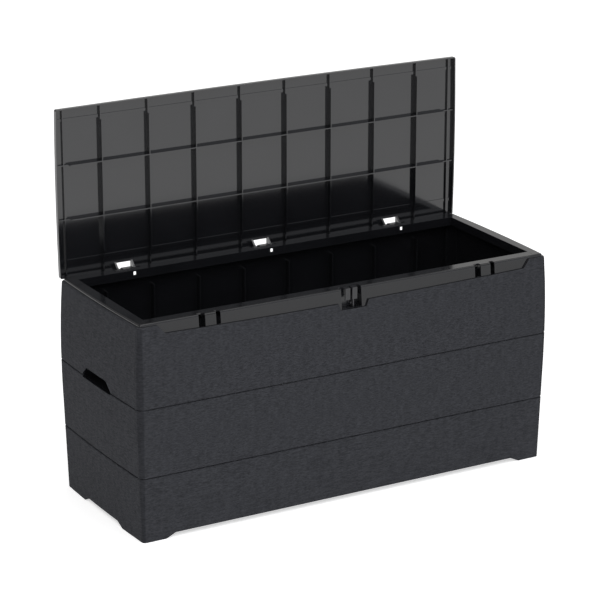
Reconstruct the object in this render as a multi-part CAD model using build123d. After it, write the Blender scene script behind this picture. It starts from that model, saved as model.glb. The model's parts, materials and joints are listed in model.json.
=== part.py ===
"""Deck storage box: a flat-pack moulded resin chest with a hinged lid, stored open.

Frame: +Z up, +X to the right, the front faces -Y, origin on the ground under the middle of the floor.
Lengths are in millimetres.

The wall is described by its section: n is how far a point stands out of the rim's outer line, z its
height. The section runs straight along the front and back, turns round each corner, and follows a
wide arc along the two ends, so every wall piece is that one section extruded or revolved.
"""
from build123d import *
import math
import os

# --- the chest's outer size -------------------------------------------------------------------
RIM_LENGTH = 1149.0        # outside the rim, across the middle of the two bowed ends
RIM_DEPTH = 421.0          # outside the rim, front to back
RIM_Z = 551.0              # top of the rim ledge
END_RADIUS = 4755.0        # plan radius of the bowed ends
CORNER_RADIUS = 7.0        # plan radius of the rim's corners
JOINT_GAP = 0.5            # open line between neighbouring wall panels

# --- wall section -----------------------------------------------------------------------------
WALL = 3.2                 # moulded thickness
SWELL = 12.6               # how far the wall stands out at its fullest
SWELL_Z = 370.0            # height of the fullest point
TAPER_Z = 250.0            # below here the wall runs straight down to the ground
UPPER_SWELL_RADIUS = 2187.0
LOWER_SWELL_RADIUS = 3600.0
COURSE_GROOVES = (166.0, 341.5)
GROOVE_HALF = 3.5          # half height of a groove with its rounded shoulders
GROOVE_SLOT = 1.0          # half height of its narrow bottom
GROOVE_DEPTH = 3.2
SHOULDER_Z = 545.0         # top of the textured wall, just under the rim
SHOULDER_ROUND = 5.0
RIM_ROUND = 5.0
LEDGE_WIDTH = 32.0
LEDGE_THICK = 3.6
LEDGE_STUB = 6.0           # stretch of the ledge that belongs to the section
LEDGE_LIP = 22.0           # the ledge's inner edge turns down by this much
LEDGE_LIP_THICK = 3.0
SHELF_Z = 18.5             # top of the little shelf that carries the floor
SHELF_DEPTH = 6.5
SHELF_THICK = 3.0
WEB_Z = 24.0               # foot of the inner ribs and flanges

# --- feet, ribs and panel joints ----------------------------------------------------------------
ARCH_HEIGHT = 12.0
ARCH_ROUND = 9.0
LONG_ARCH = (510.0, 485.0)     # half width at the ground and at full height
END_ARCH = (105.0, 80.0)
RIB_PITCH = 129.8
RIB_THICK = 3.0
INNER_RIB_DEPTH = 9.0
FLANGE_DEPTH = 24.0
FLANGE_SET = 1.0               # the long walls' flanges stand back from the joint by this much
FLANGE_TOP = SHOULDER_Z - 8.0
HOOK_HEIGHTS = (110.0, 270.0, 430.0)
HOOK_DEPTH = (-7.5, -2.5)      # from the corner's middle line, inwards
HOOK_NECK_Z = (-8.0, 2.0)      # from the hook's height
HOOK_TIP_Z = (-12.0, -8.0)
HOOK_TIP = 2.5
HOOK_PLAY = 0.3

# --- finger-grip band, catch slots and padlock pocket of the front -------------------------------
BAND_TOP_N = -0.5              # the band's leaning face, measured like n, at the rim
BAND_FOOT_N = 2.8              # and at the band's bottom
TRAY_STEPS = ((540.0, 544.5, 1.0), (544.5, 550.0, -1.0))   # the tray's top: from z, to z, out to n
TRAY_DEPTH = 20.0
BAND_HALF = (530.0, 507.0)     # half width at the rim and at the band's bottom
BAND_BOTTOM = 517.0            # in the middle; the bottom line rises towards both ends
BAND_BOW = 6.0
BAND_OVER = 12.0               # the band's cut runs on above the rim by this much
DIP_TOP_X = (-34.7, 50.5)
DIP_BOTTOM_X = (-28.1, 42.9)
DIP_BOTTOM = 500.0
STATION_X = 3 * RIB_PITCH      # the outer catch and hinge stations
SLOT_Z = 520.5
WIDE_SLOT = (-25.6, -7.8)      # from the station's middle, on the front
NARROW_SLOT = (21.0, 33.2)
SLOT_DEPTH = 12.0
TAB_STEP = (1.2, 4.0)          # depth and height of the step along a catch tab's top
LIP_HOLE_X = (-4.5, 3.5)       # small window in the ledge's lip behind each tab
LIP_HOLE_HEIGHT = 9.5
POCKET_X = (-24.4, 32.6)
POCKET_DEPTH = 20.0
POCKET_WALL = 2.5
STAPLE_FIT = 0.3
STAPLE_TOP = RIM_Z - 1.0
STAPLE_BACK = 2.5
STAPLE_TABS = ((-11.0, 2.6), (8.8, 22.5))
STAPLE_TAB_THICK = 3.0
STAPLE_FIN = (10.0, 13.0)
PADLOCK_HOLE_RADIUS = 4.5
PADLOCK_HOLE_N = -10.0
PADLOCK_HOLE_Z = 509.0

# --- carrying cut-outs -----------------------------------------------------------------------------
GRIP_Z = (337.5, 367.0)
GRIP_HALF = (77.0, 53.0)
GRIP_ROUND = 9.0
CUP_HALF = 84.0
CUP_Z = (330.0, 400.0)
CUP_WALL = 2.5
CUP_ROUND = 8.0
CUP_BACK_X = 545.5
CUP_MOUTH_X = 579.0
COLLAR_X = (564.5, 584.1)
COLLAR_WALL = 3.0
COLLAR_RELIEF_X = 581.0        # where the collar stops behind the groove
COLLAR_RELIEF_HALF = GROOVE_HALF + 0.5

# --- floor ---------------------------------------------------------------------------------------
FLOOR_HALF = (568.6, 207.5)
FLOOR_THICK = 3.5
FLOOR_CORNER = 6.0
FLOOR_RIB_Z = 7.0
FLOOR_RIB_SET = (28.0, 20.0)   # the floor's ribs stop short of its edges by this much
PAD_RADIUS = 22.0
PAD_X = (-2 * RIB_PITCH, 0.0, 2 * RIB_PITCH)

# --- hinges --------------------------------------------------------------------------------------
HINGE_Y = 213.35
HINGE_Z = 546.15
HINGE_STATIONS = {"left": -STATION_X, "centre": 0.0, "right": STATION_X}
PIN_RADIUS = 2.4
PIN_FIT = 0.05                 # radial clearance of the pin in knuckle and arms
KNUCKLE_RADIUS = 4.8
KNUCKLE_FOOT = (6.0, 12.5)     # how far the knuckle's web reaches in and down from the axis
ARM_THICK = 4.8
ARM_GAPS = (-27.8, 12.4)       # inner faces of the two lid arms from the station's middle
ARM_FOOT = 18.0                # how far the arm's root reaches forward of the axis
ARM_EDGE_Y = 215.0             # the arm's back edge, inside the lid's back lip

# --- lid, described closed -------------------------------------------------------------------------
LID_HALF_LENGTH = 576.8        # at the middle of the bowed ends
LID_HALF_DEPTH = 217.0         # at the middle of the bowed front and back
LID_CORNER_X = 574.2           # where the bowed edges would meet
LID_CORNER_Y = 214.2
LID_EDGE_Z = 549.3             # bottom of the lips
LID_TOP_Z = 562.3
LID_WALL = 3.0
LID_CORNER = 4.5               # plan radius of the corners
LID_ROUND = 3.0
LID_RIB_THICK = 2.5
LID_RIB_Z = 544.8              # bottom of the ribs, between the ledges
LID_RIB_REST_Z = 551.6         # the cross ribs step up to here over the rim
LID_END_RIB_Z = 553.6
LID_END_RIB_X = 555.0
LID_INNER_HALF_DEPTH = 176.0
LID_INNER_HALF_LENGTH = 541.0
LID_LONG_RIBS = (-72.0, 66.0)
LID_GROOVES_Y = (-185.0, 173.5)
LID_GROOVE_RADIUS = 2.5
LID_GROOVE_RISE = 0.6          # the groove's middle lies this far above the lid's top
LID_RIDGE_HALF = 3.5           # the ridge that backs a groove inside
LID_RIDGE_Z = 557.6
WINDOW_Y = 199.0               # front edge of the hinge windows in the lid's back edge

# --- derived places ---------------------------------------------------------------------------------
CORNER_Y = RIM_DEPTH / 2 - CORNER_RADIUS
FAR_X = RIM_LENGTH / 2 - END_RADIUS
CORNER_X = FAR_X + math.sqrt((END_RADIUS - CORNER_RADIUS) ** 2 - CORNER_Y ** 2)
END_HALF_ANGLE = math.degrees(math.asin(CORNER_Y / (END_RADIUS - CORNER_RADIUS)))
LEDGE_INNER_X = RIM_LENGTH / 2 - LEDGE_WIDTH + 2.0
LEDGE_INNER_Y = RIM_DEPTH / 2 - LEDGE_WIDTH
RIB_X = [side * RIB_PITCH * (step + 0.5) for side in (-1, 1) for step in range(4)]


def box(x, y, z):
    """A block from three (low, high) pairs."""
    size = [high - low for low, high in (x, y, z)]
    middle = [(high + low) / 2 for low, high in (x, y, z)]
    return Pos(*middle) * Box(*size)


def rod(radius, x, y, z):
    """A round bar along X between the pair x, with its axis at (y, z)."""
    return Pos((x[0] + x[1]) / 2, y, z) * Rot(0, 90, 0) * Cylinder(radius, x[1] - x[0])


def stand_out(z):
    """How far the wall's outer face stands out of the rim's line at height z."""
    radius = UPPER_SWELL_RADIUS if z > SWELL_Z else LOWER_SWELL_RADIUS
    run = max(z, TAPER_Z) - SWELL_Z
    rise = math.sqrt(radius ** 2 - run ** 2)
    taper = max(TAPER_Z - z, 0) * run / rise
    return SWELL - radius + rise + taper


class Outline:
    """A closed outline in the section plane, drawn edge by edge from (n, z) points."""

    def __init__(self, reach, start):
        self.reach = reach
        self.first = self.last = start
        self.edges = []

    def point(self, spot):
        return Vector(self.reach + spot[0], 0, spot[1])

    def line(self, *spots):
        for spot in spots:
            self.edges.append(Line(self.point(self.last), self.point(spot)))
            self.last = spot

    def arc(self, middle, spot):
        self.edges.append(ThreePointArc(self.point(self.last), self.point(middle), self.point(spot)))
        self.last = spot

    def wall(self, z, inset=0.0):
        """Follow the wall to height z, inset from its outer face: arcs above the taper, a line below."""
        low, high = sorted((self.last[1], z))
        passed = [stop for stop in (TAPER_Z, SWELL_Z) if low < stop < high]
        for stop in sorted(passed, reverse=z < self.last[1]) + [z]:
            spot = (stand_out(stop) - inset, stop)
            middle = (self.last[1] + stop) / 2
            if middle < TAPER_Z:
                self.line(spot)
            else:
                self.arc((stand_out(middle) - inset, middle), spot)

    def round_corner(self, radius, towards, spot):
        """A quarter round to spot, bulging towards the sharp corner (n, z)."""
        pull = 1 - math.sqrt(0.5)
        middle = [t + (s - t + l - t) * pull for t, s, l in zip(towards, spot, self.last)]
        self.arc(middle, spot)

    def face(self):
        self.line(self.first)
        return make_face(self.edges)


def wall_section(reach):
    """The wall's section, in the XZ plane, with the rim's outer line at x = reach."""
    outline = Outline(reach, (stand_out(0), 0))
    for groove in COURSE_GROOVES:
        outline.wall(groove - GROOVE_HALF)
        add_groove(outline, groove)
    outline.wall(SHOULDER_Z - SHOULDER_ROUND)
    face_n = outline.last[0]
    outline.round_corner(SHOULDER_ROUND, (face_n, SHOULDER_Z), (face_n - SHOULDER_ROUND, SHOULDER_Z))
    outline.line((0, SHOULDER_Z), (0, RIM_Z - RIM_ROUND))
    outline.round_corner(RIM_ROUND, (0, RIM_Z), (-RIM_ROUND, RIM_Z))
    under_ledge = RIM_Z - LEDGE_THICK
    outline.line((-LEDGE_STUB, RIM_Z), (-LEDGE_STUB, under_ledge), (-WALL, under_ledge))
    outline.line((-WALL, SHOULDER_Z - 1), (stand_out(SHOULDER_Z - 6) - WALL, SHOULDER_Z - 6))
    for groove in reversed(COURSE_GROOVES):
        add_inner_ridge(outline, groove)
    outline.wall(SHELF_Z, WALL)
    outline.line((-SHELF_DEPTH, SHELF_Z), (-SHELF_DEPTH, SHELF_Z - SHELF_THICK))
    outline.line((stand_out(SHELF_Z - SHELF_THICK) - WALL, SHELF_Z - SHELF_THICK))
    outline.wall(0, WALL)
    return outline.face()


def add_groove(outline, z):
    """The groove between two courses: a narrow slot with rounded shoulders."""
    low, high = z - GROOVE_HALF, z + GROOVE_HALF
    shoulder = GROOVE_HALF - GROOVE_SLOT
    n_low, n_high = stand_out(low), stand_out(high)
    outline.round_corner(shoulder, (n_low, z - GROOVE_SLOT), (n_low - shoulder, z - GROOVE_SLOT))
    outline.line((n_low - GROOVE_DEPTH, z - GROOVE_SLOT), (n_high - GROOVE_DEPTH, z + GROOVE_SLOT))
    outline.line((n_high - shoulder, z + GROOVE_SLOT))
    outline.round_corner(shoulder, (n_high, z + GROOVE_SLOT), (n_high, high))


def add_inner_ridge(outline, z):
    """The ridge that keeps the wall's thickness behind a groove, drawn downwards."""
    outline.wall(z + 2 * GROOVE_HALF, WALL)
    crest = stand_out(z) - WALL - GROOVE_DEPTH
    outline.line((crest, z + GROOVE_HALF), (crest, z - GROOVE_HALF))
    outline.line((stand_out(z - 2 * GROOVE_HALF) - WALL, z - 2 * GROOVE_HALF))


def web_section(reach, depth, top=FLANGE_TOP):
    """An upright web: its outer edge is buried in the wall, its inner edge stands depth inside."""
    outline = Outline(reach, (stand_out(WEB_Z) - WALL / 2, WEB_Z))
    outline.wall(top, WALL / 2)
    outline.line((-depth, top), (-depth, WEB_Z))
    return outline.face()


def along_front(face, low, high):
    """Carry a section drawn with reach CORNER_RADIUS along the front, from x = low to high."""
    return Pos(low, -CORNER_Y, 0) * extrude(Rot(0, 0, -90) * face, high - low, dir=(1, 0, 0))


def prism_y(points, near, far):
    """A prism along Y between y = near and far, from an outline of (x, z) points."""
    edges = Polyline(*[(x, near, z) for x, z in points], close=True)
    return extrude(make_face(edges), far - near, dir=(0, 1, 0))


def prism_x(points, low, high):
    """A prism along X between x = low and high, from an outline of (y, z) points."""
    edges = Polyline(*[(low, y, z) for y, z in points], close=True)
    return extrude(make_face(edges), high - low, dir=(1, 0, 0))


def front_n(n):
    """The y of a plane that stands n out of the rim's front line."""
    return -RIM_DEPTH / 2 - n


# --- front and back panels -----------------------------------------------------------------------

def long_wall():
    """A long wall in the front's place, with its two rounded corners and its ledge."""
    section = wall_section(CORNER_RADIUS)
    wall = along_front(section, -CORNER_X, CORNER_X)
    turn = 90 - END_HALF_ANGLE
    corner = revolve(section, Axis.Z, revolution_arc=turn)
    wall += Pos(CORNER_X, -CORNER_Y, 0) * Rot(0, 0, -90) * corner
    wall += Pos(-CORNER_X, -CORNER_Y, 0) * Rot(0, 0, -90 - turn) * corner
    return wall + long_ledge()


def long_ledge():
    """The ledge along a long wall, running to the rounded corners."""
    low, high = RIM_Z - LEDGE_THICK, RIM_Z
    edge = front_n(-LEDGE_STUB + 1)
    corner_radius = CORNER_RADIUS - LEDGE_STUB + 1
    ledge = box((-LEDGE_INNER_X, LEDGE_INNER_X), (edge, -LEDGE_INNER_Y), (low, high))
    ledge += box((-CORNER_X, CORNER_X), (edge, -CORNER_Y), (low, high))
    for side in (-1, 1):
        tip = Pos(side * CORNER_X, -CORNER_Y, (low + high) / 2) * Cylinder(corner_radius, high - low)
        ledge += tip - box((-RIM_LENGTH, RIM_LENGTH), (-CORNER_Y, 0), (low - 1, high + 1))
    lip = box((-LEDGE_INNER_X, LEDGE_INNER_X), (-LEDGE_INNER_Y - LEDGE_LIP_THICK, -LEDGE_INNER_Y),
              (RIM_Z - LEDGE_LIP, low))
    return ledge + lip


def band_bottom(x):
    """Height of the finger-grip band's bottom line at x."""
    return BAND_BOTTOM + BAND_BOW * (x / BAND_HALF[1]) ** 2


def in_front(spots):
    """Points (x, z) laid in the plane y = 0."""
    return [(x, 0, z) for x, z in spots]


def band_outline(dip):
    """The finger-grip band seen from the front, open at the top; dip adds the middle's lower part."""
    wide, narrow = BAND_HALF
    end_z, top = band_bottom(narrow), RIM_Z + BAND_OVER
    top_x = narrow + (wide - narrow) * (top - end_z) / (RIM_Z - end_z)
    ends = [(-narrow, end_z), (narrow, end_z)]
    middle = [(0.0, BAND_BOTTOM)]
    edges = []
    if dip:
        middle = [(DIP_TOP_X[0], BAND_BOTTOM), (DIP_BOTTOM_X[0], DIP_BOTTOM),
                  (DIP_BOTTOM_X[1], DIP_BOTTOM), (DIP_TOP_X[1], BAND_BOTTOM)]
        edges.append(Polyline(*in_front(middle)))
    for start, stop in ((ends[0], middle[0]), (middle[-1], ends[1])):
        half_way = (start[0] + stop[0]) / 2
        edges.append(ThreePointArc(*in_front([start, (half_way, band_bottom(half_way)), stop])))
    edges.append(Polyline(*in_front([ends[1], (top_x, top), (-top_x, top), ends[0]])))
    return make_face(edges)


def cut_band(wall, dip):
    """Set the finger-grip band into a long wall, with a tray of wall thickness behind it."""
    outline = band_outline(dip)
    grown = offset(outline, WALL, kind=Kind.INTERSECTION)
    start = Pos(0, front_n(-TRAY_DEPTH), 0)
    tray = start * extrude(grown, 2 * TRAY_DEPTH, dir=(0, -1, 0)) & band_space(-WALL)
    behind = web_section(CORNER_RADIUS, TRAY_DEPTH, TRAY_STEPS[0][0])
    wall += tray & along_front(behind, -CORNER_X, CORNER_X)
    for low, high, n in TRAY_STEPS:
        wall += tray & box((-CORNER_X, CORNER_X), (front_n(n), front_n(-TRAY_DEPTH)), (low, high))
    return wall - (start * extrude(outline, 3 * TRAY_DEPTH, dir=(0, -1, 0)) & band_space(0))


def band_space(shift):
    """Everything that stands further out than the band's leaning face, shifted along n."""
    lean = (BAND_FOOT_N - BAND_TOP_N) / (RIM_Z - BAND_BOTTOM)
    low, high, far = DIP_BOTTOM - 2 * WALL, RIM_Z + 2 * BAND_OVER, front_n(4 * TRAY_DEPTH)
    at_low = front_n(BAND_TOP_N + lean * (RIM_Z - low) + shift)
    at_high = front_n(BAND_TOP_N + lean * (RIM_Z - high) + shift)
    return prism_x([(at_high, high), (at_low, low), (far, low), (far, high)], -CORNER_X, CORNER_X)


def slots(station):
    """The two slots beside a catch tab, through band and ledge, and the window in the lip behind it."""
    deep = (front_n(5.0), front_n(-SLOT_DEPTH))
    cuts = [box((station + low, station + high), deep, (SLOT_Z, RIM_Z + 1))
            for low, high in (WIDE_SLOT, NARROW_SLOT)]
    low, high = LIP_HOLE_X
    under_ledge = RIM_Z - LEDGE_THICK
    lip = (-LEDGE_INNER_Y - LEDGE_LIP_THICK - 1, -LEDGE_INNER_Y + 1)
    return cuts + [box((station + low, station + high), lip, (under_ledge - LIP_HOLE_HEIGHT, under_ledge))]


def feet_arch():
    """What is cut away under a long wall between its two feet."""
    (ground, full), top = LONG_ARCH, ARCH_HEIGHT
    points = [(-ground, -1), (-ground, 0), (-full, top), (full, top), (ground, 0), (ground, -1)]
    cut = prism_y(points, front_n(20.0), front_n(-20.0))
    return fillet(cut.edges().filter_by(Axis.Y).group_by(Axis.Z)[-1], ARCH_ROUND)


def inner_ribs():
    """Upright ribs on the inside of a long wall."""
    section = web_section(CORNER_RADIUS, INNER_RIB_DEPTH, DIP_BOTTOM - WALL)
    return [along_front(section, x - RIB_THICK / 2, x + RIB_THICK / 2) for x in RIB_X]


def corner_flanges():
    """Flanges at the two ends of a long wall, windowed for the end panels' hooks."""
    plate = extrude(web_section(CORNER_RADIUS, FLANGE_DEPTH), RIB_THICK, dir=(0, -1, 0))
    for z in HOOK_HEIGHTS:
        plate -= box((-9.0, 1.0), (-RIB_THICK - 1, 1), (z - 10.0, z + 10.0))
    flange = Pos(CORNER_X, -CORNER_Y - FLANGE_SET, 0) * plate
    return [flange, mirror(flange, about=Plane.YZ)]


def padlock_pocket():
    """The closed pocket behind the middle of the band: its shell and its hollow."""
    back = front_n(-POCKET_DEPTH - POCKET_WALL)
    inner_x, inner_z = POCKET_X, (DIP_BOTTOM, RIM_Z + 1)
    outer_x = (inner_x[0] - POCKET_WALL, inner_x[1] + POCKET_WALL)
    shell = box(outer_x, (front_n(BAND_TOP_N - 1), back), (DIP_BOTTOM - POCKET_WALL, RIM_Z))
    return shell, box(inner_x, (front_n(30.0), front_n(-POCKET_DEPTH)), inner_z)


def knuckle(station):
    """A hinge knuckle, drawn in the front's place, that grows out of a catch tab."""
    low, high = station + WIDE_SLOT[1], station + NARROW_SLOT[0]
    axis_y, r = -HINGE_Y, KNUCKLE_RADIUS
    tab_back = front_n(BAND_TOP_N - 2 * WALL)
    foot_y, foot_z = axis_y + KNUCKLE_FOOT[0], HINGE_Z - KNUCKLE_FOOT[1]
    web = [(axis_y, HINGE_Z - r), (foot_y, foot_z), (tab_back, foot_z), (tab_back, RIM_Z - LEDGE_THICK),
           (foot_y, HINGE_Z + r), (axis_y, HINGE_Z + r)]
    body = prism_x(web, low, high) + rod(r, (low, high), axis_y, HINGE_Z)
    return body, rod(PIN_RADIUS + PIN_FIT, (low - 1, high + 1), axis_y, HINGE_Z)


def front_panel():
    panel = cut_band(long_wall(), dip=True)
    shell, hollow = padlock_pocket()
    panel = panel + shell - hollow
    for station in (-STATION_X, STATION_X):
        panel -= slots(station)
        panel -= box((station + WIDE_SLOT[1], station + NARROW_SLOT[0]),
                     (front_n(2.0), front_n(BAND_TOP_N - TAB_STEP[0])), (RIM_Z - TAB_STEP[1], RIM_Z + 1))
    return panel - feet_arch() + inner_ribs() + corner_flanges()


def back_panel():
    """The same moulding turned round, with knuckles on its three tabs."""
    panel = cut_band(long_wall(), dip=False)
    for station in HINGE_STATIONS.values():
        panel -= slots(-station)
        body, bore = knuckle(-station)
        panel = panel + body - bore
    return Rot(0, 0, 180) * (panel - feet_arch() + inner_ribs() + corner_flanges())


# --- end panels ----------------------------------------------------------------------------------

def end_ledge():
    """The ledge along the right end, between the two long walls' corners."""
    half = CORNER_Y - JOINT_GAP
    inner = LEDGE_INNER_X + JOINT_GAP
    radius = END_RADIUS - LEDGE_STUB + 1
    low = RIM_Z - LEDGE_THICK
    blank = box((inner, RIM_LENGTH / 2), (-half, half), (low, RIM_Z))
    round_off = Pos(FAR_X, 0, RIM_Z) * Cylinder(radius, 4 * LEDGE_THICK)
    lip = box((inner, inner + LEDGE_LIP_THICK), (-half, half), (RIM_Z - LEDGE_LIP, low))
    return (blank & round_off) + lip


def right_end_panel():
    gap_angle = math.degrees(JOINT_GAP / END_RADIUS)
    half = END_HALF_ANGLE - gap_angle
    wall = revolve(wall_section(END_RADIUS), Axis.Z, revolution_arc=2 * half)
    panel = Pos(FAR_X, 0, 0) * Rot(0, 0, -half) * wall + end_ledge()
    panel = panel + handle_collar() - grip_cut() - end_arch()
    flange = Pos(CORNER_X, -CORNER_Y + JOINT_GAP, 0) * end_flange()
    return panel + [flange, mirror(flange, about=Plane.XZ)]


def end_flange():
    """The flange at an end panel's edge, with hooks that reach through the long wall's flange."""
    plate = extrude(web_section(CORNER_RADIUS, FLANGE_DEPTH), RIB_THICK, dir=(0, 1, 0))
    neck_end = -JOINT_GAP - FLANGE_SET - RIB_THICK - HOOK_PLAY
    tip = neck_end - HOOK_TIP
    for z in HOOK_HEIGHTS:
        plate += box(HOOK_DEPTH, (tip, 1), (z + HOOK_NECK_Z[0], z + HOOK_NECK_Z[1]))
        plate += box(HOOK_DEPTH, (tip, neck_end), (z + HOOK_TIP_Z[0], z + HOOK_TIP_Z[1]))
    return plate


def grip_cut():
    """The carrying cut-out through the right end."""
    low, high = GRIP_Z
    wide, narrow = GRIP_HALF
    knee = COURSE_GROOVES[-1] + GROOVE_HALF + 1.0
    points = [(-wide, low), (-wide, knee), (-narrow, high), (narrow, high), (wide, knee), (wide, low)]
    cut = prism_x(points, CUP_MOUTH_X - 8, RIM_LENGTH / 2 + 40)
    upper = cut.edges().filter_by(Axis.X).group_by(Axis.Z)[-1]
    return fillet(upper, GRIP_ROUND)


def handle_collar():
    """The collar behind the cut-out that the handle cup plugs into."""
    y, z = CUP_HALF + COLLAR_WALL, (CUP_Z[0] - COLLAR_WALL, CUP_Z[1] + COLLAR_WALL)
    outer = box(COLLAR_X, (-y, y), z)
    groove = COURSE_GROOVES[-1]
    relief = box((COLLAR_RELIEF_X, COLLAR_X[1] + 1), (-y - 1, y + 1),
                 (groove - COLLAR_RELIEF_HALF, groove + COLLAR_RELIEF_HALF))
    return outer - relief - box((COLLAR_X[0] - 1, CUP_MOUTH_X), (-CUP_HALF, CUP_HALF), CUP_Z)


def right_handle_cup():
    """The closed pocket for the fingers."""
    outer = box((CUP_BACK_X, CUP_MOUTH_X), (-CUP_HALF, CUP_HALF), CUP_Z)
    corners = outer.edges().filter_by(Axis.Y).group_by(Axis.X)[0]
    outer = fillet(corners, CUP_ROUND)
    half = CUP_HALF - CUP_WALL
    inner = box((CUP_BACK_X + CUP_WALL, CUP_MOUTH_X + 1), (-half, half),
                (CUP_Z[0] + CUP_WALL, CUP_Z[1] - CUP_WALL))
    corners = inner.edges().filter_by(Axis.Y).group_by(Axis.X)[0]
    return outer - fillet(corners, CUP_ROUND - CUP_WALL)


def end_arch():
    """What is cut away under the right end between its two feet."""
    (ground, full), top = END_ARCH, ARCH_HEIGHT
    points = [(-ground, -1), (-ground, 0), (-full, top), (full, top), (ground, 0), (ground, -1)]
    cut = prism_x(points, RIM_LENGTH / 2 - 20, RIM_LENGTH / 2 + 20)
    return fillet(cut.edges().filter_by(Axis.X).group_by(Axis.Z)[-1], ARCH_ROUND)


# --- floor, staple and pins ----------------------------------------------------------------------

def floor_panel():
    half_x, half_y = FLOOR_HALF
    plate = box((-half_x, half_x), (-half_y, half_y), (SHELF_Z, SHELF_Z + FLOOR_THICK))
    plate = fillet(plate.edges().filter_by(Axis.Z), FLOOR_CORNER)
    rib_z = (FLOOR_RIB_Z, SHELF_Z)
    reach_x, reach_y = half_x - FLOOR_RIB_SET[0], half_y - FLOOR_RIB_SET[1]
    for x in RIB_X:
        plate += box((x - RIB_THICK / 2, x + RIB_THICK / 2), (-reach_y, reach_y), rib_z)
    for y in (-reach_y / 2, 0.0, reach_y / 2):
        plate += box((-reach_x, reach_x), (y - RIB_THICK / 2, y + RIB_THICK / 2), rib_z)
    for x in PAD_X:
        plate += Pos(x, 0, SHELF_Z / 2) * Cylinder(PAD_RADIUS, SHELF_Z)
    return plate


def padlock_staple():
    """The insert in the front pocket: a back plate, a fin with the padlock hole, and two tabs."""
    back = (front_n(-POCKET_DEPTH + STAPLE_BACK), front_n(-POCKET_DEPTH))
    face = front_n(BAND_TOP_N - 1)
    foot = DIP_BOTTOM + STAPLE_FIT
    staple = box((POCKET_X[0] + STAPLE_FIT, POCKET_X[1] - STAPLE_FIT), back, (foot, STAPLE_TOP))
    staple += box(STAPLE_FIN, (face, back[0]), (foot, STAPLE_TOP))
    for tab in STAPLE_TABS:
        staple += box(tab, (face, face + STAPLE_TAB_THICK), (SLOT_Z, STAPLE_TOP))
        staple += box(tab, (face, back[0]), (STAPLE_TOP - STAPLE_BACK, STAPLE_TOP))
    hole_x = (STAPLE_FIN[0] - 1, STAPLE_FIN[1] + 1)
    return staple - rod(PADLOCK_HOLE_RADIUS, hole_x, front_n(PADLOCK_HOLE_N), PADLOCK_HOLE_Z)


def hinge_pin(station):
    return rod(PIN_RADIUS, arm_span(station), HINGE_Y, HINGE_Z)


# --- lid ----------------------------------------------------------------------------------------

def arm_span(station):
    """From the outer face of one lid arm to the outer face of the other."""
    return station + ARM_GAPS[0] - ARM_THICK, station + ARM_GAPS[1] + ARM_THICK


def lid_blank(inset, bottom):
    """The lid's flat form with bowed edges, closed, inset from its outer face, down to bottom."""
    middle_x, middle_y = LID_HALF_LENGTH - inset, LID_HALF_DEPTH - inset
    x, y = LID_CORNER_X - inset, LID_CORNER_Y - inset
    edges = [ThreePointArc((x, -y), (middle_x, 0), (x, y)), ThreePointArc((x, y), (0, middle_y), (-x, y)),
             ThreePointArc((-x, y), (-middle_x, 0), (-x, -y)),
             ThreePointArc((-x, -y), (0, -middle_y), (x, -y))]
    plan = make_face(edges)
    plan = fillet(plan.vertices(), LID_CORNER - inset)
    return Pos(0, 0, bottom) * extrude(plan, LID_TOP_Z - inset - bottom, dir=(0, 0, 1))


def lid_ribs():
    """The lid's inner ribs and ridges, drawn as plain plates that the lid's form then trims."""
    inner_y, inner_x = LID_INNER_HALF_DEPTH, LID_INNER_HALF_LENGTH
    full_y, full_x = LID_HALF_DEPTH, LID_HALF_LENGTH
    half = LID_RIB_THICK / 2
    plates = []
    for x in RIB_X:
        plates.append(box((x - half, x + half), (-inner_y, inner_y), (LID_RIB_Z, LID_TOP_Z)))
        plates.append(box((x - half, x + half), (-full_y, full_y), (LID_RIB_REST_Z, LID_TOP_Z)))
    for y in LID_LONG_RIBS:
        plates.append(box((-inner_x, inner_x), (y - half, y + half), (LID_RIB_Z, LID_TOP_Z)))
        plates.append(box((-full_x, full_x), (y - half, y + half), (LID_END_RIB_Z, LID_TOP_Z)))
    for x in (-LID_END_RIB_X, LID_END_RIB_X):
        plates.append(box((x - half, x + half), (-full_y, full_y), (LID_END_RIB_Z, LID_TOP_Z)))
    for y in LID_GROOVES_Y:
        ridge = (y - LID_RIDGE_HALF, y + LID_RIDGE_HALF)
        plates.append(box((-full_x, full_x), ridge, (LID_RIDGE_Z, LID_TOP_Z)))
    return plates


def lid_arms(station):
    """The two arms that carry the lid on a pin, beside the hinge window."""
    y, z, r = HINGE_Y, HINGE_Z, KNUCKLE_RADIUS
    root = LID_TOP_Z - LID_WALL / 2
    web = [(y + r, z), (ARM_EDGE_Y, LID_EDGE_Z + 1), (ARM_EDGE_Y, root), (y - ARM_FOOT, root), (y - r, z)]
    outer = arm_span(station)
    arms = []
    for low, high in ((outer[0], station + ARM_GAPS[0]), (station + ARM_GAPS[1], outer[1])):
        arms.append(prism_x(web, low, high))
        arms.append(rod(r, (low, high), y, z))
    return arms


def lid_shell():
    shell = lid_blank(0, LID_EDGE_Z)
    shell = fillet(shell.faces().sort_by(Axis.Z)[-1].outer_wire().edges(), LID_ROUND)
    shell -= lid_blank(LID_WALL, LID_EDGE_Z - 1)
    core = lid_blank(LID_WALL / 2, LID_RIB_Z)
    shell = shell + [plate & core for plate in lid_ribs()]
    for y in LID_GROOVES_Y:
        groove_x = (-LID_HALF_LENGTH - 5, LID_HALF_LENGTH + 5)
        shell -= rod(LID_GROOVE_RADIUS, groove_x, y, LID_TOP_Z + LID_GROOVE_RISE)
    for station in HINGE_STATIONS.values():
        gap = (station + ARM_GAPS[0], station + ARM_GAPS[1])
        shell -= box(gap, (WINDOW_Y, LID_HALF_DEPTH + 5), (LID_EDGE_Z - 5, LID_TOP_Z + 1))
    for station in HINGE_STATIONS.values():
        outer = arm_span(station)
        shell += lid_arms(station)
        shell -= rod(PIN_RADIUS + PIN_FIT, (outer[0] - 1, outer[1] + 1), HINGE_Y, HINGE_Z)
    return shell


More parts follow.
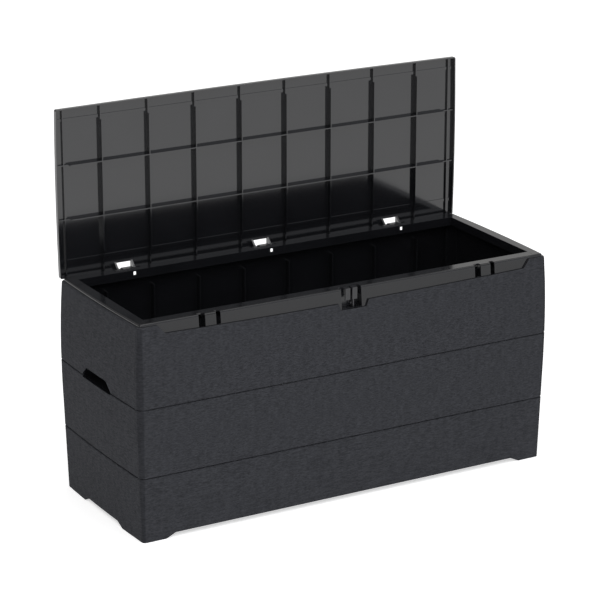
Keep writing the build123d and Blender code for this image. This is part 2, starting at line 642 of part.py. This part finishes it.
def opened(piece):
    """Turn a lid piece from closed to its stored place, a quarter turn open about the hinge."""
    return Pos(0, HINGE_Y, HINGE_Z) * Rot(-90, 0, 0) * Pos(0, -HINGE_Y, -HINGE_Z) * piece


def pieces():
    end = right_end_panel()
    cup = right_handle_cup()
    made = {
        "front_panel": front_panel(),
        "back_panel": back_panel(),
        "left_end_panel": mirror(end, about=Plane.YZ),
        "right_end_panel": end,
        "floor_panel": floor_panel(),
        "left_handle_cup": mirror(cup, about=Plane.YZ),
        "right_handle_cup": cup,
        "padlock_staple": padlock_staple(),
        "lid_shell": opened(lid_shell()),
    }
    for name, station in HINGE_STATIONS.items():
        made["hinge_pin_" + name] = hinge_pin(station)
    return made


os.makedirs("parts", exist_ok=True)
for node, piece in pieces().items():
    solids = piece.solids()
    shape = solids[0] if len(solids) == 1 else Compound(children=list(solids))
    export_step(shape, "parts/" + node + ".step")
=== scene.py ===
"""Looks of the deck storage box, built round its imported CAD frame. Lengths are in metres."""
import json
import math

import bpy
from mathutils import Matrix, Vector


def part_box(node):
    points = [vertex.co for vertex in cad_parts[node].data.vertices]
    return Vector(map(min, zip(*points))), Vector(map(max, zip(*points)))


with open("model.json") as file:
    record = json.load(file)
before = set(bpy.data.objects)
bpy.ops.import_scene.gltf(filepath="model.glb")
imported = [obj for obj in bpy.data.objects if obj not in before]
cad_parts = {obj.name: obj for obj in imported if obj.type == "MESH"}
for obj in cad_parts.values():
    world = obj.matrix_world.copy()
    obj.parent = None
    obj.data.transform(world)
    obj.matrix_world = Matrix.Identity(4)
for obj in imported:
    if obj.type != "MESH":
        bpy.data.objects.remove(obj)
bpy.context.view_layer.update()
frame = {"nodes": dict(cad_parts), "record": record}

# --- the camera, set as a product photograph: long lens, from the front left and above -------------
CAMERA_LENS = 158.07         # mm on a 36 mm sensor
CAMERA_AZIMUTH = -29.786     # degrees round the object from its front
CAMERA_ELEVATION = 18.257
CAMERA_PLACE = Vector((-3.1313, -5.4378, 2.5300))

# --- studio ------------------------------------------------------------------------------------------
FLOOR_SIDE = 60.0
FLOOR_ROUGHNESS = 0.9
FLOOR_CLOUD = 0.8            # size of the floor's faint clouds
FLOOR_ALBEDO = 0.85
FLOOR_GLOW = 0.56            # the floor's own light, so that it reads as white
WORLD_BRIGHT_SIDE = (0.6, -0.8, 0.0)
WORLD_STRENGTH = (0.34, 0.96)    # on the far side and on the bright side
WORLD_TINT = ((1.0, 0.99, 0.98, 1.0), (0.97, 0.99, 1.05, 1.0))
SOFTBOXES = {                # place, aim, side and power of each soft light
    "softbox_key": ((-2.6, -3.4, 3.6), (0.0, 0.0, 0.5), 2.4, 60.0),
    "softbox_top": ((0.4, -0.6, 4.2), (0.0, 0.1, 0.4), 3.0, 40.0),
}

# --- where the walls' moulded grain ends, from the frame ------------------------------------------------
front_low, front_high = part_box("front_panel")
RIM_Z = front_high.z
GRAIN_TOP_Z = RIM_Z - 0.0055 # the grain stops just under the rim
WALL_SWELL = 0.0126          # the most that the wall stands out of the rim's line
BAND_Z = RIM_Z - 0.034       # the finger-grip band's bottom line in the middle
BAND_BOW = 0.006
BAND_HALF = 0.507            # half its width at the bottom
BAND_SIDE = 0.836            # how fast it widens upwards
DIP_Z = RIM_Z - 0.051        # bottom of the front band's dip
DIP_X = (-0.0281, 0.0429)    # and its two sides there
DIP_SIDE = (-0.39, 0.45)
BLEND = 0.0012               # width of the soft edge of the band's mask
RIM_Y = -front_low.y - WALL_SWELL
RIM_X = front_high.x - WALL_SWELL
LID_SKIN_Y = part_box("lid_shell")[1].y
SIDE_FACE_IN = 0.0016        # how far inside the rim's line the long walls' grain may start
END_FACE_IN = 0.0060         # and the end walls', whose middle bows outwards
LID_SKIN_DEPTH = 0.0030
FACE_BLEND = 0.0006
SKIN_BLEND = 0.0010

# --- the resin ----------------------------------------------------------------------------------------
GRAIN_BLUE = 1.16            # tint of the grained walls, as grey() takes it
SMOOTH_BLUE = 1.2
SMOOTH_SWING = 0.3           # the glossy faces' tone and gloss vary in faint clouds
CLOUD_SIZE = 0.11
STREAK_SIZE = (0.0065, 0.0065, 0.0018)
THREAD_SIZE = (0.0170, 0.0170, 0.0028)
MOTTLE_SIZE = (0.0130, 0.0130, 0.0450)
STREAK_SHARE = 0.6           # of the fine grain, the rest is threads
FINE_SHARE = 0.85            # of the tone, the rest is mottle
TONE_BLEND = 0.42            # width of the step between the grain's dark and light tone
CLOUD_GLOSS = 0.15           # swing of the glossy faces' roughness
TONE_GLOSS = 0.08            # swing of the grained faces' roughness
PAINTED_CORNER_SHADE = 0.40          # share of painted shade blended into the colour along the walls' rounded corners
CORNER_TURN = (0.28, 0.2)    # middle and width of the turn where the painted shade sits, as the product of the normal's x and y
# blue tint of the painted corner shade
PAINTED_SHADE_BLUE = 1.3
MOTTLE_RELIEF = 0.3          # height of the mottle against the streaks
GRAIN_STRENGTH = 0.75
GRAIN_DEPTH = 0.0006
PEEL_SIZE = 0.006
PEEL_DEPTH = 0.0003
# painted highlight: sharp outer edges are lightened in the base colour, as an edge sheen
EDGE_HIGHLIGHT_RADIUS = 0.0012
EDGE_HIGHLIGHT_LEVEL = 0.045
EDGE_HIGHLIGHT_SHARE = 0.35
BASE_IOR = 1.12              # set low to keep the grained faces matt, the plastic's own is near 1.5
WALL_COAT_IOR = 1.42
LID_COAT_IOR = 1.62
LID_COAT_ROUGHNESS = 0.10


# --- node helpers --------------------------------------------------------------------------------------

class Tree:
    """A material's node tree with short calls that return output sockets."""

    def __init__(self, name):
        self.material = bpy.data.materials.new(name)
        self.material.use_nodes = True
        self.tree = self.material.node_tree
        self.shader = self.tree.nodes["Principled BSDF"]

    def add(self, kind, **settings):
        node = self.tree.nodes.new(kind)
        for key, value in settings.items():
            setattr(node, key, value)
        return node

    def feed(self, socket, value):
        if isinstance(value, bpy.types.NodeSocket):
            self.tree.links.new(value, socket)
        else:
            socket.default_value = value

    def math(self, operation, a, b=0.0, clamp=False):
        node = self.add("ShaderNodeMath", operation=operation, use_clamp=clamp)
        self.feed(node.inputs[0], a)
        self.feed(node.inputs[1], b)
        return node.outputs[0]

    def above(self, value, edge, width):
        """0 below the edge and 1 above it, blended over a width."""
        node = self.add("ShaderNodeMapRange", interpolation_type="SMOOTHSTEP")
        self.feed(node.inputs["Value"], value)
        node.inputs["From Min"].default_value = edge - width / 2
        node.inputs["From Max"].default_value = edge + width / 2
        return node.outputs["Result"]

    def spread(self, value, low, high):
        """Carry a 0 to 1 value to the range low to high."""
        node = self.add("ShaderNodeMapRange")
        self.feed(node.inputs["Value"], value)
        node.inputs["To Min"].default_value = low
        node.inputs["To Max"].default_value = high
        return node.outputs["Result"]

    def place(self):
        node = self.add("ShaderNodeTexCoord")
        return node.outputs["Object"], node.outputs["Normal"]

    def split(self, vector):
        node = self.add("ShaderNodeSeparateXYZ")
        self.feed(node.inputs[0], vector)
        return node.outputs

    def noise(self, vector, periods, detail, roughness=0.55):
        """Noise whose features are about as long as periods (x, y, z), in metres."""
        mapping = self.add("ShaderNodeMapping")
        self.feed(mapping.inputs["Vector"], vector)
        mapping.inputs["Scale"].default_value = [1 / period for period in periods]
        node = self.add("ShaderNodeTexNoise")
        self.feed(node.inputs["Vector"], mapping.outputs[0])
        node.inputs["Scale"].default_value = 1.0
        node.inputs["Detail"].default_value = detail
        node.inputs["Roughness"].default_value = roughness
        return node.outputs["Fac"]

    def blend(self, factor, a, b):
        node = self.add("ShaderNodeMix", data_type="RGBA")
        self.feed(node.inputs["Factor"], factor)
        self.feed(node.inputs["A"], a)
        self.feed(node.inputs["B"], b)
        return node.outputs["Result"]

    def bump(self, height, strength, distance, normal=None):
        node = self.add("ShaderNodeBump")
        self.feed(node.inputs["Height"], height)
        self.feed(node.inputs["Strength"], strength)
        node.inputs["Distance"].default_value = distance
        if normal:
            self.feed(node.inputs["Normal"], normal)
        return node.outputs["Normal"]

    def edge_highlight_mask(self, radius):
        """1 along sharp outer edges, 0 on flat faces."""
        bevel = self.add("ShaderNodeBevel", samples=4)
        bevel.inputs["Radius"].default_value = radius
        true_normal = self.add("ShaderNodeNewGeometry").outputs["Normal"]
        dot = self.add("ShaderNodeVectorMath", operation="DOT_PRODUCT")
        self.feed(dot.inputs[0], bevel.outputs["Normal"])
        self.feed(dot.inputs[1], true_normal)
        return self.above(self.math("SUBTRACT", 1.0, dot.outputs["Value"]), 0.12, 0.2)


def grey(level, blue=1.0):
    """A grey colour whose blue is raised by the factor blue, and its green by a fifth as much."""
    return (level, level * (1 + 0.2 * (blue - 1)), level * blue, 1.0)


def grain_parts(tree, position):
    """The moulded grain: short level streaks like linen, and soft upright mottling across them."""
    streaks = tree.noise(position, STREAK_SIZE, 2.0)
    threads = tree.noise(position, THREAD_SIZE, 1.0)
    mottle = tree.noise(position, MOTTLE_SIZE, 2.0)
    fine = tree.math("ADD", tree.math("MULTIPLY", streaks, STREAK_SHARE),
                     tree.math("MULTIPLY", threads, 1 - STREAK_SHARE))
    return fine, mottle


def paint_corner_shade(tree, colour, mask, normal, level):
    """Paint shade into a colour along the walls' rounded corners, where mask is 1."""
    facing = tree.split(normal)
    turned = tree.math("ABSOLUTE", tree.math("MULTIPLY", facing["X"], facing["Y"]))
    corner = tree.math("MULTIPLY", tree.above(turned, *CORNER_TURN), mask)
    return tree.blend(tree.math("MULTIPLY", corner, PAINTED_CORNER_SHADE), colour, grey(level, PAINTED_SHADE_BLUE))


def resin(name, grained, rough_smooth=0.16, rough_grain=0.75, smooth_level=0.008, grain_level=0.031,
          grain_swing=0.38, orange_peel=0.03, ior=1.5, coat_ior=None, coat_rough=0.12):
    """Moulded resin that is grained where grained(tree, position, normal) is 1, and glossy elsewhere.

    With coat_ior given, the glossy part has a clear coat over a base of index ior.
    """
    tree = Tree(name)
    position, normal = tree.place()
    mask = grained(tree, tree.split(position), tree.split(normal))
    smooth = tree.math("SUBTRACT", 1.0, mask)
    fine, mottle = grain_parts(tree, position)
    cloud = tree.noise(position, (CLOUD_SIZE, CLOUD_SIZE, CLOUD_SIZE), 2.0)
    tone = tree.math("ADD", tree.math("MULTIPLY", fine, FINE_SHARE),
                     tree.math("MULTIPLY", mottle, 1 - FINE_SHARE))
    tone = tree.above(tone, 0.5, TONE_BLEND)
    grain_colour = tree.blend(tone, grey(grain_level * (1 - grain_swing), GRAIN_BLUE),
                              grey(grain_level * (1 + grain_swing), GRAIN_BLUE))
    smooth_colour = tree.blend(cloud, grey(smooth_level * (1 - SMOOTH_SWING), SMOOTH_BLUE),
                               grey(smooth_level * (1 + SMOOTH_SWING), SMOOTH_BLUE))
    colour = tree.blend(mask, smooth_colour, grain_colour)
    # painted shade: the rounded corners of the grained faces are darkened in the base colour
    colour = paint_corner_shade(tree, colour, mask, normal, smooth_level)
    # painted highlight: a lighter grey is blended in along sharp outer edges
    edge_highlight = tree.edge_highlight_mask(EDGE_HIGHLIGHT_RADIUS)
    colour = tree.blend(tree.math("MULTIPLY", edge_highlight, EDGE_HIGHLIGHT_SHARE), colour, grey(EDGE_HIGHLIGHT_LEVEL, 1.1))
    tree.feed(tree.shader.inputs["Base Color"], colour)
    rough_low = tree.spread(cloud, rough_smooth * (1 - CLOUD_GLOSS), rough_smooth * (1 + CLOUD_GLOSS))
    rough_high = tree.spread(tone, rough_grain * (1 + TONE_GLOSS), rough_grain * (1 - TONE_GLOSS))
    gap = tree.math("SUBTRACT", rough_high, rough_low)
    tree.feed(tree.shader.inputs["Roughness"],
              tree.math("ADD", rough_low, tree.math("MULTIPLY", gap, mask)))
    height = tree.math("ADD", fine, tree.math("MULTIPLY", mottle, MOTTLE_RELIEF))
    peel = tree.noise(position, (PEEL_SIZE, PEEL_SIZE, PEEL_SIZE), 1.0)
    peeled = tree.bump(peel, tree.math("MULTIPLY", smooth, orange_peel), PEEL_DEPTH)
    grained_normal = tree.bump(height, tree.math("MULTIPLY", mask, GRAIN_STRENGTH), GRAIN_DEPTH, peeled)
    tree.feed(tree.shader.inputs["Normal"], grained_normal)
    tree.shader.inputs["IOR"].default_value = ior
    if coat_ior:
        tree.feed(tree.shader.inputs["Coat Weight"], smooth)
        tree.shader.inputs["Coat IOR"].default_value = coat_ior
        tree.shader.inputs["Coat Roughness"].default_value = coat_rough
    return tree.material


def sided(tree, along, facing, edge):
    """1 where a face points outwards along one axis, at least edge out on either side."""
    outside = tree.above(tree.math("ABSOLUTE", along), edge, FACE_BLEND)
    outwards = tree.math("MULTIPLY", facing, tree.math("SIGN", along))
    return tree.math("MULTIPLY", outside, tree.above(outwards, 0.25, 0.2))


def inside_band(tree, position):
    """1 on the finger-grip band of the two long walls, seen from the front, with the front's dip."""
    x, z = position["X"], position["Z"]
    away = tree.math("ABSOLUTE", x)
    part = tree.math("DIVIDE", away, BAND_HALF)
    bow = tree.math("MULTIPLY", tree.math("MULTIPLY", part, part), BAND_BOW)
    over = tree.above(tree.math("SUBTRACT", z, bow), BAND_Z, BLEND)
    widening = tree.math("MULTIPLY", tree.math("SUBTRACT", z, BAND_Z + BAND_BOW), BAND_SIDE)
    between = tree.math("SUBTRACT", 1.0, tree.above(tree.math("SUBTRACT", away, widening), BAND_HALF, BLEND))
    rise = tree.math("SUBTRACT", z, DIP_Z)
    left = tree.above(tree.math("SUBTRACT", x, tree.math("MULTIPLY", rise, DIP_SIDE[0])), DIP_X[0], BLEND)
    right = tree.above(tree.math("SUBTRACT", x, tree.math("MULTIPLY", rise, DIP_SIDE[1])), DIP_X[1], BLEND)
    dip = tree.math("MULTIPLY", left, tree.math("SUBTRACT", 1.0, right))
    dip = tree.math("MULTIPLY", dip, tree.above(rise, 0.0, BLEND))
    dip = tree.math("MULTIPLY", dip, tree.math("LESS_THAN", position["Y"], 0.0))
    return tree.math("MAXIMUM", tree.math("MULTIPLY", over, between), dip)


def wall_grain(tree, position, normal):
    long_side = sided(tree, position["Y"], normal["Y"], RIM_Y - SIDE_FACE_IN)
    long_side = tree.math("MULTIPLY", long_side, tree.math("SUBTRACT", 1.0, inside_band(tree, position)))
    end_side = sided(tree, position["X"], normal["X"], RIM_X - END_FACE_IN)
    below_rim = tree.math("SUBTRACT", 1.0, tree.above(position["Z"], GRAIN_TOP_Z, SKIN_BLEND))
    return tree.math("MULTIPLY", tree.math("MAXIMUM", long_side, end_side), below_rim)


def lid_grain(tree, position, normal):
    skin = tree.above(position["Y"], LID_SKIN_Y - LID_SKIN_DEPTH, SKIN_BLEND)
    return tree.math("MULTIPLY", skin, tree.above(normal["Y"], 0.35, 0.3))


def no_grain(tree, position, normal):
    return 0.0


# --- the materials on the CAD nodes ----------------------------------------------------------------------

def dress(node, material):
    data = frame["nodes"][node].data
    data.materials.clear()
    data.materials.append(material)


wall_resin = resin("wall_resin", wall_grain, ior=BASE_IOR, coat_ior=WALL_COAT_IOR)
lid_resin = resin("lid_resin", lid_grain, ior=BASE_IOR, coat_ior=LID_COAT_IOR,
                  coat_rough=LID_COAT_ROUGHNESS)
inner_resin = resin("inner_resin", no_grain, rough_smooth=0.28)
staple_resin = resin("staple_resin", no_grain, rough_smooth=0.22, smooth_level=0.012)
pin_resin = resin("pin_resin", no_grain, rough_smooth=0.25, smooth_level=0.008)

finishes = {"wall_resin": wall_resin, "lid_resin": lid_resin, "inner_resin": inner_resin,
            "staple_resin": staple_resin, "pin_resin": pin_resin}
for part in frame["record"]["subparts"]:
    dress(part["node"], finishes[part["material_slot"]])


# --- studio ------------------------------------------------------------------------------------------------

def add_floor():
    half = FLOOR_SIDE / 2
    mesh = bpy.data.meshes.new("studio_floor")
    mesh.from_pydata([(-half, -half, 0), (half, -half, 0), (half, half, 0), (-half, half, 0)], [],
                     [(0, 1, 2, 3)])
    floor = bpy.data.objects.new("studio_floor", mesh)
    bpy.context.scene.collection.objects.link(floor)
    tree = Tree("studio_floor")
    position, _ = tree.place()
    cloud = tree.noise(position, (FLOOR_CLOUD, FLOOR_CLOUD, FLOOR_CLOUD), 2.0)
    tree.feed(tree.shader.inputs["Base Color"],
              tree.blend(cloud, grey(FLOOR_ALBEDO * 0.99), grey(FLOOR_ALBEDO)))
    tree.shader.inputs["Roughness"].default_value = FLOOR_ROUGHNESS
    tree.shader.inputs["Emission Color"].default_value = (1, 1, 1, 1)
    tree.shader.inputs["Emission Strength"].default_value = FLOOR_GLOW
    mesh.materials.append(tree.material)


def add_softbox(name, place, aim, side, power):
    data = bpy.data.lights.new(name, "AREA")
    data.shape = "SQUARE"
    data.size = side
    data.energy = power
    lamp = bpy.data.objects.new(name, data)
    lamp.location = place
    lamp.rotation_mode = "QUATERNION"
    lamp.rotation_quaternion = (Vector(aim) - Vector(place)).to_track_quat("-Z", "Y")
    bpy.context.scene.collection.objects.link(lamp)


def add_world():
    """A soft white surround, brighter and cooler towards one side."""
    world = bpy.data.worlds.new("studio")
    bpy.context.scene.world = world
    world.use_nodes = True
    nodes, links = world.node_tree.nodes, world.node_tree.links
    background = nodes["Background"]
    place = nodes.new("ShaderNodeTexCoord")
    towards = nodes.new("ShaderNodeVectorMath")
    towards.operation = "DOT_PRODUCT"
    towards.inputs[1].default_value = WORLD_BRIGHT_SIDE
    links.new(place.outputs["Generated"], towards.inputs[0])
    across = nodes.new("ShaderNodeMapRange")
    across.inputs["From Min"].default_value = -1.0
    across.inputs["To Min"].default_value = WORLD_STRENGTH[0]
    across.inputs["To Max"].default_value = WORLD_STRENGTH[1]
    links.new(towards.outputs["Value"], across.inputs["Value"])
    links.new(across.outputs["Result"], background.inputs["Strength"])
    tint = nodes.new("ShaderNodeMix")
    tint.data_type = "RGBA"
    tint.inputs["A"].default_value = WORLD_TINT[0]
    tint.inputs["B"].default_value = WORLD_TINT[1]
    links.new(towards.outputs["Value"], tint.inputs["Factor"])
    links.new(tint.outputs["Result"], background.inputs["Color"])


def add_camera():
    data = bpy.data.cameras.new("camera")
    data.lens = CAMERA_LENS
    data.sensor_width = 36.0
    data.clip_start, data.clip_end = 0.1, 100.0
    camera = bpy.data.objects.new("camera", data)
    azimuth, elevation = math.radians(CAMERA_AZIMUTH), math.radians(CAMERA_ELEVATION)
    back = Vector((math.sin(azimuth) * math.cos(elevation),
                   -math.cos(azimuth) * math.cos(elevation), math.sin(elevation)))
    camera.location = CAMERA_PLACE
    camera.rotation_mode = "QUATERNION"
    camera.rotation_quaternion = (-back).to_track_quat("-Z", "Y")
    bpy.context.scene.collection.objects.link(camera)
    bpy.context.scene.camera = camera


add_floor()
for name, (place, aim, side, power) in SOFTBOXES.items():
    add_softbox(name, place, aim, side, power)
add_world()
add_camera()
bpy.context.scene.view_settings.view_transform = "Standard"
